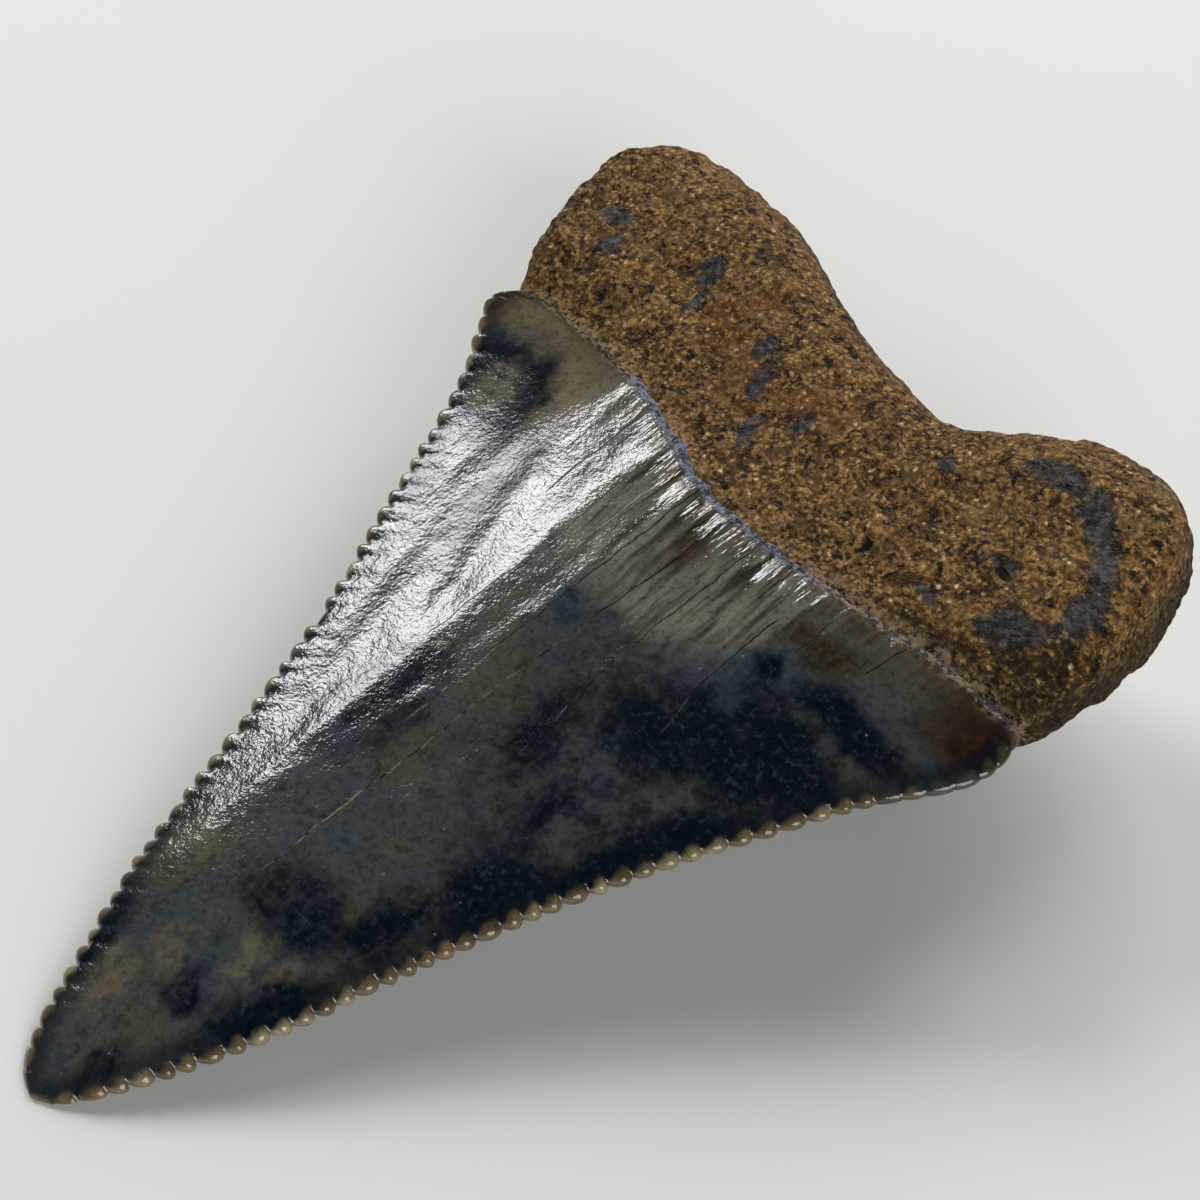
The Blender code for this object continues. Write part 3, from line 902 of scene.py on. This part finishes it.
        # Painted shade, partly the root's own darker colour: darker lower down its sides and under it.
        tone = graph.mix(h.ramp(0.6, -2.4) * (0.72 + 1.2 * (fine - 0.5)), tone, self.dark)
        line_mm = graph.note("line_mm") + (patchy - 0.5) * 1.6
        sides = 0.3 + q.ramp(3.0, 7.0) * 0.7 + q.ramp(-8.0, -11.0) * 0.5
        rim = line_mm.ramp(1.1, 0.5) * line_mm.ramp(-1.5, -0.4)
        rim = rim * (fine + (speck - 0.5) * 0.6).ramp(0.4, 0.54) * outer
        tone = graph.mix(rim * sides * 0.8, tone, graph.mix(q.ramp(-4.0, 4.0), self.rim, self.rim_rosy))
        # The pits are painted near black: partly their own dark colour, partly painted shade in these
        # hollows.
        pit = graph.stains(drift, self.pits, 0.3, ragged * 0.4) * outer
        tone = graph.mix(pit, tone, self.pit)

        swells = graph.lumps(drift, 0.95, 2.0)
        height = patchy * 0.6 + swells * 0.5 + fine * 0.26 + crumb * 0.06 + speck * 0.05
        height = height - holes * 0.14 - grey * 0.05 - pit * 0.2
        rough = 0.78 - speck.ramp(0.55, 0.7) * 0.25 - grey * 0.2
        sockets = {"Base Color": tone, "Roughness": rough, "IOR": self.index,
                   "Specular IOR Level": self.shine}
        return graph.finish(sockets, height)


@dataclass(frozen=True)
class Crown:
    """The enamel crown, with a ridged bead at every serration and a thin step down to the root."""

    blade: Blade
    finish: EnamelFinish
    left_beads: Serrations = Serrations(((43, 43.2, 1.0),), 7, missing=24)
    right_beads: Serrations = Serrations(((36, 35.4, 1.0), (7, 42.2, 0.3)), 8)
    rows_per_bead: int = 9
    tip_rows: int = 12
    base_rows: int = 10
    tip_pinch: float = 0.15
    bead_depth: float = 0.42
    bead_reach: float = 0.6
    bead_round: float = 0.6
    small_beads: float = 6.0
    smallest: float = 0.5
    ridge_height: float = 0.2
    ridge_reach: float = 0.95
    ridge_fall: float = 1.6
    ridge_middle: float = 0.6
    ridge_lean: float = 0.372
    ridge_bend: float = 0.4
    ridge_fade: Span = (0.5, 6.0)
    rim_steps: int = 16
    field_steps: int = 44
    rim_width: float = 2.2
    rim_limit: float = 0.45
    rim_crowding: float = 1.7
    rim_round: float = 0.3
    sweep: Span = (26.0, 42.0)
    line_lumps: tuple[Lumps, ...] = (Lumps(0.2, 0.9, 3.0, 0.0), Lumps(0.14, 2.6, 9.0, 0.0))
    line_fade: float = 0.08
    inner_relief: float = 0.3
    waves: tuple[Lumps, ...] = (Lumps(0.09, 2.6, 11.0, 0.3), Lumps(0.03, 1.0, 23.0, 0.5))
    relief_fade: float = 3.0
    shoulder_height: float = 0.3
    shoulder_width: float = 0.22
    shoulder_fade: Span = (36.5, 43.0)
    crest_height: float = 0.38
    crest_left: float = -4.5
    crest_fade: Span = (4.0, 14.0)
    crest_base: Span = (39.0, 42.5)
    crest_drop: float = 0.6
    creases: tuple[tuple[float, float, float], ...] = ((-4.5, 3.4, 0.68), (-9.3, 3.0, 0.32))
    groove: tuple[Span, Span] = ((-8.9, 38.5), (-5.4, 28.0))
    groove_width: float = 1.0
    groove_depth: float = 0.17
    folds: Lumps = Lumps(1.0, 0.9, 31.0, 0.12)
    fold_height: float = 0.28
    fold_length: float = 4.2
    fold_fall: float = 1.5
    fold_fade: Span = (-16.0, -9.0)
    ledge: Points = ((0.07, 0.03), (0.13, 0.1), (0.17, 0.22), (0.19, 0.38), (0.4, 0.6), (1.7, 1.3))
    ledge_fade: float = 5.0
    ledge_ends: float = 0.1
    thinnest: float = 0.02
    half_width: float = 19.0

    def row_places(self, side: Edge) -> Array:
        """Place the rows along one cutting edge, from the tip to the enamel line.

        Args:
            side: The cutting edge.

        Returns:
            The s of each row at that edge.
        """
        beads = self.left_beads if side is Edge.LEFT else self.right_beads
        marks, _ = beads.marks_and_sizes()
        tip = marks[0] * (np.arange(self.tip_rows) / self.tip_rows) ** 2
        shares = np.arange(self.rows_per_bead) / self.rows_per_bead
        body = (marks[:-1, None] + np.diff(marks)[:, None] * shares).ravel()
        end = self.blade.edge(side).points[-1][0]
        base = np.linspace(marks[-1], end, self.base_rows)
        return np.concatenate([tip, body, base])

    def bead_profile(self, side: Edge, s: Array) -> tuple[Array, ...]:
        """Read the beads at places along an edge.

        Args:
            side: The cutting edge.
            s: Places along it.

        Returns:
            The depth of the notch, the height of the ridge from 0 to 1, a random tone for each
            bead, and the bead's size.
        """
        beads = self.left_beads if side is Edge.LEFT else self.right_beads
        marks, sizes = beads.marks_and_sizes()
        index, phase = beads.read(s)
        round_top = np.sin(np.pi * np.clip(phase, NEARLY_0, 1.0 - NEARLY_0)) ** self.bead_round
        size = np.minimum(sizes[index], 1.0)
        full = self.bead_depth * np.minimum(1.0, self.smallest + index / self.small_beads)
        worn = np.maximum(0.0, 1.0 - sizes[index]) if side is Edge.LEFT else 0.0
        notch = full * (worn + size * (1.0 - round_top))
        inside = (s > marks[0]) & (s < marks[-1])
        source = random.Random(beads.seed + TONE_SEED)
        tones = np.array([source.random() for _ in sizes])
        return np.where(inside, notch, 0.0), np.where(inside, round_top, 0.5), tones[index], size

    def ring_offsets(self, width: Array) -> Array:
        """Space the points of half a row, close together near the cutting edge.

        Args:
            width: The blade's width at each row.

        Returns:
            One line for each row, with the distances from the cutting edge to the middle.
        """
        half = 0.5 * width[:, None]
        rim = np.minimum(self.rim_width, self.rim_limit * half)
        near = rim * (np.arange(self.rim_steps) / self.rim_steps) ** self.rim_crowding
        far = rim + (half - rim) * np.arange(self.field_steps + 1) / self.field_steps
        return np.concatenate([near, far], 1)

    def shape(self) -> tuple[Array, dict[str, Array]]:
        """Work out the crown's points, over the outer face and back under the inner one.

        Returns:
            The points in the blade's millimetres, row by row, and the values that the finish reads.
        """
        blade = self.blade
        left_place = self.row_places(Edge.LEFT)[:, None]
        right_place = self.row_places(Edge.RIGHT)[:, None]
        left_end = blade.left_edge.points[-1][0]
        right_end = blade.right_edge.points[-1][0]
        pinch = np.minimum(1.0, np.sqrt(left_place / self.tip_pinch))
        left = -blade.left_edge.at(left_place) * pinch
        right = blade.right_edge.at(right_place) * pinch
        width = np.maximum(right - left, 1e-4)
        half = self.ring_offsets(width[:, 0])
        over = np.concatenate([half, width - half[:, -2::-1]], 1)
        under = over[:, -3:1:-2]
        away = np.concatenate([over, under], 1)
        top = np.arange(away.shape[1]) < over.shape[1]
        share = away / width
        q = left + away
        s = left_place + (right_place - left_place) * share
        straight = left_end + (right_end - left_end) * share
        sweep = blend(*self.sweep, 0.5 * (left_place + right_place))
        places = np.stack([q, s, np.zeros_like(q)], -1)
        ragged = sum(layer.at(places) for layer in self.line_lumps)
        ragged = ragged * blend(0.0, self.line_fade, share * (1.0 - share))
        s = s + (blade.enamel_line.at(q) + ragged - straight) * sweep

        height = np.where(top, blade.outer_face(q, s), blade.inner_face(q, s))
        ridges = np.zeros_like(q)
        tones = np.zeros_like(q)
        sizes = np.zeros_like(q)
        sides = ((Edge.LEFT, away, left_place), (Edge.RIGHT, width - away, right_place))
        for side, distance, place in sides:
            near = distance <= 0.5 * width
            notch, _, _, _ = self.bead_profile(side, place)
            leaning = s - self.ridge_lean * distance * blend(0.0, self.ridge_bend, distance)
            _, ridge, tone, size = self.bead_profile(side, leaning)
            q = q - side.value * np.where(near, notch * bell(distance / self.bead_reach), 0.0)
            reach = np.exp(-(distance / self.ridge_reach) ** self.ridge_fall)
            lift = self.ridge_height * size * (ridge - self.ridge_middle) * reach * blend(*self.ridge_fade, s)
            height = height + np.where(near, np.where(top, lift, -lift), 0.0)
            ridges = np.where(near, ridge, ridges)
            tones = np.where(near, tone, tones)
            sizes = np.where(near, size, sizes)
        from_edge = np.minimum(away, width - away)
        rounding = np.sqrt(1.0 - (1.0 - np.minimum(from_edge / self.rim_round, 1.0)) ** 2)
        height = height * rounding
        relief = self.relief(q, s)
        height = height + np.where(top, relief, self.inner_relief * relief) * rounding
        notes = {"edge_mm": from_edge, "ridge": ridges, "bead_tone": tones, "bead_size": sizes,
                 "base_mm": blade.enamel_line.at(q) - s}
        return self.add_ledge(np.stack([q, s, height], -1), notes)

    def relief(self, q: Array, s: Array) -> Array:
        """Work out the enamel's slow waves and the short folds at its base.

        Args:
            q: Places across the blade.
            s: Places along the blade.

        Returns:
            The heights to add to the outer face.
        """
        places = np.stack([q, s, np.zeros_like(q)], -1)
        waves = sum(layer.at(places) for layer in self.waves)
        below_line = self.blade.enamel_line.at(q) - s
        fade = np.clip(1.0 - below_line / self.fold_length, 0.0, 1.0) ** self.fold_fall
        folds = self.folds.at(places) * self.fold_height * fade * blend(*self.fold_fade, q)
        share = self.blade.share_across(q, s)
        shoulder = self.shoulder_height * blend(*self.shoulder_fade, s) * bell(share / self.shoulder_width)
        right = self.blade.right_edge.at(s)
        crest = np.clip((right - q) / (right - self.crest_left), 0.0, 1.0)
        for start, width, fall in self.creases:
            past = np.clip((start - q) / width, 0.0, 1.0)
            crest = crest - fall * past * (2.0 - past)
        crest = self.crest_height * crest * blend(*self.crest_fade, s)
        crest = crest * (1.0 - self.crest_drop * blend(*self.crest_base, s))
        (start_q, start_s), (end_q, end_s) = self.groove
        middle = start_q + (end_q - start_q) * (s - start_s) / (end_s - start_s)
        ends = blend(end_s - 2.0, end_s + 2.0, s) * blend(start_s + 1.5, start_s - 2.0, s)
        groove = self.groove_depth * bell((q - middle) / self.groove_width) * ends
        return (waves + folds + shoulder + crest - groove) * blend(0.0, self.relief_fade, s)

    def add_ledge(self, places: Array, notes: dict[str, Array]) -> tuple[Array, dict[str, Array]]:
        """Close the crown with a rounded step down from the enamel line, tucked into the root.

        Args:
            places: The crown's points up to the enamel line.
            notes: The values that go with them.

        Returns:
            The points and the values with the rows of the step added.
        """
        q, s, h = places[-1].T
        inward = blend(0.0, self.ledge_fade, np.minimum(q - q.min(), q.max() - q))
        reach = self.ledge_ends + (1.0 - self.ledge_ends) * inward
        rows = [places]
        for forward, drop in self.ledge:
            lower = np.sign(h) * np.maximum(np.abs(h) - drop, self.thinnest)
            rows.append(np.stack([q * (1.0 - drop / self.half_width), s + forward * reach, lower], -1)[None])
        added = len(self.ledge)
        more = {name: np.concatenate([values] + [values[-1:]] * added) for name, values in notes.items()}
        return np.concatenate(rows), more

    def build(self) -> bpy.types.Object:
        """Build the crown and dress it."""
        places, notes = self.shape()
        mesh = tube_mesh("tooth_crown", self.blade.lay_down(places), notes)
        piece = show("tooth_crown", mesh, self.finish.make(self.blade))
        return piece


@dataclass(frozen=True)
class Root:
    """The bilobed root, with its grain and pits."""

    blade: Blade
    finish: RootFinish
    back: Outline = Outline((
        (-21.3, 52.4), (-21.0, 54.7), (-19.8, 56.3), (-17.4, 57.1), (-13.6, 57.1), (-9.8, 56.5),
        (-5.6, 54.8), (0.0, 53.2), (4.0, 53.0), (7.1, 55.1), (9.3, 56.6), (12.4, 57.1), (15.1, 56.5),
        (17.0, 54.8), (17.8, 52.2)))
    front: Outline = Outline((
        (-21.3, 52.4), (-20.9, 49.8), (-19.9, 46.6), (-18.4, 44.1), (-14.0, 41.4), (-7.0, 38.3), (0.0, 36.6),
        (7.0, 37.4), (13.0, 39.6), (17.7, 42.3), (18.4, 44.3), (18.6, 47.0), (18.4, 49.8), (17.8, 52.2)))
    stations: int = 330
    end_gap: float = 0.003
    ring: int = 256
    fine_ring: int = 1600
    outer_rise: float = 1.25
    mid_plane: float = -1.9
    lobe_depth: float = 6.2
    side_depth: float = 3.9
    side_fade: Span = (9.0, 20.0)
    bulge_depth: float = 10.75
    bulge_centre: Span = (-0.2, 46.8)
    bulge_size: Span = (10.5, 7.2)
    back_lip: float = 0.45
    lip_place: float = 0.82
    lip_width: float = 0.16
    ledge: float = 0.25
    line_slope: float = 4.0
    hole: Span = (0.9, 51.3)
    hole_width: float = 1.5
    hole_depth: float = 1.6
    fullness: float = 0.75
    swells: tuple[Lumps, ...] = (Lumps(0.19, 3.4, 5.0), Lumps(0.17, 1.3, 17.0))
    crumbs: Lumps = Lumps(0.07, 0.38, 41.0)
    grain_height: float = 0.11
    grain_size: float = 0.6
    grain_middle: float = 0.45
    line_fade: Span = (-0.5, 1.6)
    line_grain: float = 0.3
    pits: tuple[tuple[Patch, float], ...] = (
        (Patch(6.7, 44.4, 0.2, 0.5, -12.0), 0.2), (Patch(12.4, 47.5, 0.6, 0.45), 0.35))
    outer_only: float = -1.0

    def depth(self, q: Array, s: Array) -> Array:
        """Depth of the inner face under the cutting edges: two lobes and the middle bulge.

        Args:
            q: Places across the tooth.
            s: Places along it.

        Returns:
            The depths.
        """
        across = (q - self.bulge_centre[0]) / self.bulge_size[0]
        along = (s - self.bulge_centre[1]) / self.bulge_size[1]
        bulge = bell(np.hypot(across, along))
        hollow = self.hole_depth * bell(np.hypot(q - self.hole[0], s - self.hole[1]) / self.hole_width)
        lobe = self.lobe_depth + (self.side_depth - self.lobe_depth) * blend(*self.side_fade, np.abs(q))
        return lobe + (self.bulge_depth - lobe) * bulge - hollow

    def rise(self, q: Array, s: Array, t: Array) -> Array:
        """Height of the outer face: just under the enamel at its line, with a lip at the back.

        Args:
            q: Places across the tooth.
            s: Places along it.
            t: Shares of the way from the root's front to its back.

        Returns:
            The heights.
        """
        lip = self.back_lip * bell((t - self.lip_place) / self.lip_width)
        line = self.blade.enamel_line.at(q)
        under = self.blade.outer_face(q, s) - self.ledge
        return under + (self.outer_rise + lip - under) * blend(line, line + self.line_slope, s)

    def section(self, share: Array, turn: Array) -> Array:
        """Work out points round the root's sections.

        Args:
            share: How far each section lies from the left lobe to the right one.
            turn: The angle of each point, from the front over the outer face to the back and under.

        Returns:
            The points in the blade's millimetres.
        """
        front_q, front_s = self.front.at(share)
        back_q, back_s = self.back.at(share)
        end = np.sqrt(1.0 - (2.0 * share - 1.0) ** 4)
        reach = np.cos(turn)
        side = np.sqrt(1.0 - np.abs(reach) ** (2.0 / self.fullness))
        t = 0.5 - 0.5 * reach
        q = front_q + (back_q - front_q) * t
        s = front_s + (back_s - front_s) * t
        # The outer face is squarer in front than at the back, and both faces thin towards the ends.
        squareness = 0.55 - 0.3 * end * (1.0 - t)
        up = (self.rise(q, s, t) - self.mid_plane) * side ** squareness * (0.55 + 0.45 * end)
        down = (self.depth(q, s) + self.mid_plane) * side ** (1.2 - 0.6 * t) * (0.2 + 0.8 * end)
        return np.stack([q, s, self.mid_plane + np.where(np.sin(turn) > 0.0, up, -down)], -1)

    def shape(self) -> Array:
        """Work out the root's smooth surface, with even steps round every section.

        Returns:
            The points in the blade's millimetres, one row for each section.
        """
        even = np.linspace(0.0, 1.0, self.stations)
        crowded = 0.5 * even + 0.25 * (1.0 - np.cos(np.pi * even))
        share = self.end_gap + (1.0 - 2.0 * self.end_gap) * crowded
        turn = np.linspace(0.0, 2.0 * np.pi, self.fine_ring + 1)
        rows = []
        for place in share:
            points = self.section(np.full_like(turn, place), turn)
            lengths = np.concatenate([[0.0], np.cumsum(np.linalg.norm(np.diff(points, axis=0), axis=1))])
            steps = np.arange(self.ring) / self.ring * lengths[-1]
            rows.append(self.section(np.full(self.ring, place), np.interp(steps, lengths, turn)))
        return np.stack(rows)

    def weather(self, places: Array) -> Array:
        """Roughen the surface with lumps, grains and pits, along its normals.

        Args:
            places: The smooth surface's points.

        Returns:
            The weathered points.
        """
        along = np.gradient(places, axis=0)
        around = np.roll(places, -1, 1) - np.roll(places, 1, 1)
        normal = np.cross(along, around)
        normal /= np.linalg.norm(normal, axis=-1, keepdims=True) + 1e-9
        outward = np.sign(np.sum(normal * (places - places.mean(1, keepdims=True)), -1).mean())
        q, s, h = np.moveaxis(places, -1, 0)
        lumps = sum(layer.at(places) for layer in self.swells)
        grains = self.grain_height * (self.grain_middle - cells(places, self.grain_size, 2.0))
        grains = grains + self.crumbs.at(places)
        away = blend(*self.line_fade, s - self.blade.enamel_line.at(q))
        lift = lumps * away + grains * (self.line_grain + (1.0 - self.line_grain) * away)
        places = places + normal * (lift * outward)[..., None]
        for pit, deep in self.pits:
            turn = math.radians(pit.turn)
            across = ((q - pit.q) * math.cos(turn) + (s - pit.s) * math.sin(turn)) / pit.across
            length = ((s - pit.s) * math.cos(turn) - (q - pit.q) * math.sin(turn)) / pit.along
            places[..., 2] -= np.where(h > self.outer_only, deep * bell(np.hypot(across, length)), 0.0)
        return places

    def build(self) -> bpy.types.Object:
        """Build the root and dress it."""
        places = self.weather(self.shape())
        notes = {"line_mm": places[..., 1] - self.blade.enamel_line.at(places[..., 0])}
        mesh = tube_mesh("tooth_root", self.blade.lay_down(places), notes)
        piece = show("tooth_root", mesh, self.finish.make(self.blade))
        return piece


@dataclass(frozen=True)
class Lamp:
    """A soft square lamp: the direction that it stands in from the tooth, its size and its power."""

    name: str
    direction: tuple[float, float, float]
    distance: float
    size: float
    watts: float
    colour: Colour = (1.0, 1.0, 1.0)

    def light(self, target: Vector) -> bpy.types.Object:
        """Set the lamp up.

        Args:
            target: The point that it shines at.

        Returns:
            The lamp.
        """
        data = bpy.data.lights.new(self.name, "AREA")
        data.shape = "DISK"
        data.size = self.size
        data.energy = self.watts
        data.color = self.colour
        lamp = bpy.data.objects.new(self.name, data)
        bpy.context.scene.collection.objects.link(lamp)
        towards = Vector(self.direction).normalized()
        lamp.location = target + towards * self.distance
        lamp.rotation_euler = towards.to_track_quat("Z", "Y").to_euler()
        return lamp


@dataclass(frozen=True)
class Studio:
    """The pale floor, the soft lights and the camera."""

    floor_size: float = 1.6
    floor_tone: Colour = (0.79, 0.79, 0.77)
    floor_roughness: float = 0.85
    sky_tone: Colour = (0.62, 0.66, 0.7)
    sky_strength: float = 0.045
    target: tuple[float, float, float] = (0.0, 0.0, 0.006)
    lamps: tuple[Lamp, ...] = (
        Lamp("key", (-0.817, 0.189, 0.545), 0.6, 0.24, 1.9, (0.98, 0.985, 1.0)),
        Lamp("back", (-0.3, 0.8, 0.52), 0.8, 0.58, 4.8, (1.0, 0.99, 0.97)),
        Lamp("front", (0.85, -0.35, 0.42), 0.8, 0.6, 4.4, (1.0, 1.0, 1.0)))
    camera_place: tuple[float, float, float] = (0.08287, -0.06677, 0.12101)
    camera_turn: tuple[float, float, float] = (44.002, 0.0, 48.9)
    lens: float = 102.084
    sensor: float = 36.0
    nearest: float = 0.01

    def floor(self) -> bpy.types.Object:
        """Lay a plain pale floor."""
        shape = bmesh.new()
        bmesh.ops.create_grid(shape, x_segments=2, y_segments=2, size=0.5 * self.floor_size)
        mesh = bpy.data.meshes.new("floor")
        shape.to_mesh(mesh)
        shape.free()
        graph = Graph("floor")
        sockets = {"Base Color": self.floor_tone, "Roughness": self.floor_roughness}
        shader = graph.node("ShaderNodeBsdfPrincipled", sockets=sockets)
        out = graph.node("ShaderNodeOutputMaterial")
        graph.tree.links.new(shader.outputs[0], out.inputs["Surface"])
        mesh.materials.append(graph.material)
        piece = bpy.data.objects.new("floor", mesh)
        bpy.context.scene.collection.objects.link(piece)
        return piece

    def sky(self) -> bpy.types.World:
        """Fill the room with even, pale light."""
        world = bpy.data.worlds.new("room")
        world.use_nodes = True
        background = world.node_tree.nodes["Background"]
        background.inputs["Color"].default_value = (*self.sky_tone, 1.0)
        background.inputs["Strength"].default_value = self.sky_strength
        bpy.context.scene.world = world
        return world

    def camera(self) -> bpy.types.Object:
        """Set the camera at the viewing angle."""
        data = bpy.data.cameras.new("camera")
        data.sensor_width = self.sensor
        data.lens = self.lens
        data.clip_start = self.nearest
        camera = bpy.data.objects.new("camera", data)
        bpy.context.scene.collection.objects.link(camera)
        camera.location = self.camera_place
        camera.rotation_euler = [math.radians(angle) for angle in self.camera_turn]
        bpy.context.scene.camera = camera
        return camera

    def build(self) -> None:
        """Build the floor, the lights and the camera."""
        self.camera()
        self.floor()
        self.sky()
        for lamp in self.lamps:
            lamp.light(Vector(self.target))
        bpy.context.scene.view_settings.view_transform = "Standard"


def main() -> None:
    """Build the studio and the tooth's two pieces, and report each of them."""
    logging.basicConfig(level=logging.INFO, format="%(message)s")
    report = logging.getLogger("tooth")
    Studio().build()
    report.info("studio: floor, room light, lamps and camera")
    blade = Blade()
    for maker in (Crown(blade, EnamelFinish()), Root(blade, RootFinish())):
        piece = maker.build()
        report.info("%s: %d faces", piece.name, len(piece.data.polygons))


if __name__ == "__main__":
    main()
